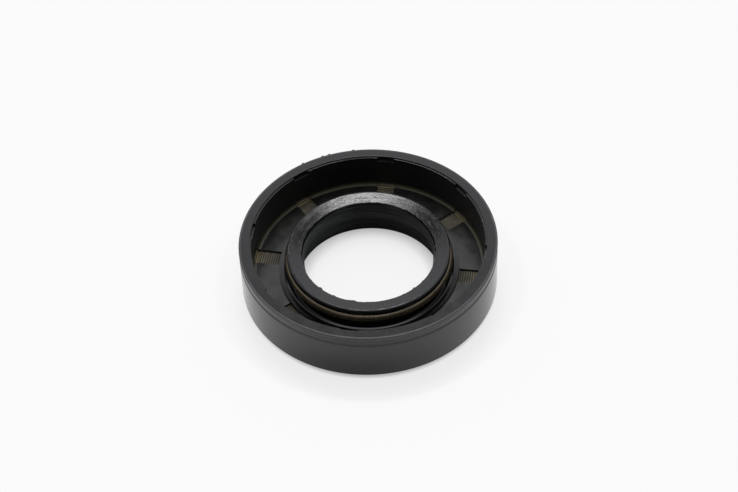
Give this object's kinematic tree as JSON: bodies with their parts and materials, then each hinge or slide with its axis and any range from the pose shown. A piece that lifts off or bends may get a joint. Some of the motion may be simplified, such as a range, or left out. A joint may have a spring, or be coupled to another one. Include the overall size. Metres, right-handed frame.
{
  "type": "radial shaft seal",
  "caption": "Rubber-covered radial shaft seal with one spring-loaded lip: its outside presses into a housing bore and the lip grips a turning shaft to hold oil in.",
  "frame": {"origin": "centre of the flat back face, on the axis of the shaft", "axes": "+Z along the shaft's axis, from the back face to the side that holds the spring; +X through the middle of one of the windows in the floor"},
  "size_m": [0.03, 0.03, 0.007],
  "materials": {
    "moulded_rubber": "satin black nitrile rubber, compression moulded",
    "case_steel": "cold-rolled strip, dull phosphated",
    "spring_wire": "drawn spring wire, straw-coloured from tempering"
  },
  "bodies": {
    "root": {"rubber_body": "moulded_rubber", "steel_case": "case_steel", "garter_spring": "spring_wire"}
  },
  "joints": []
}
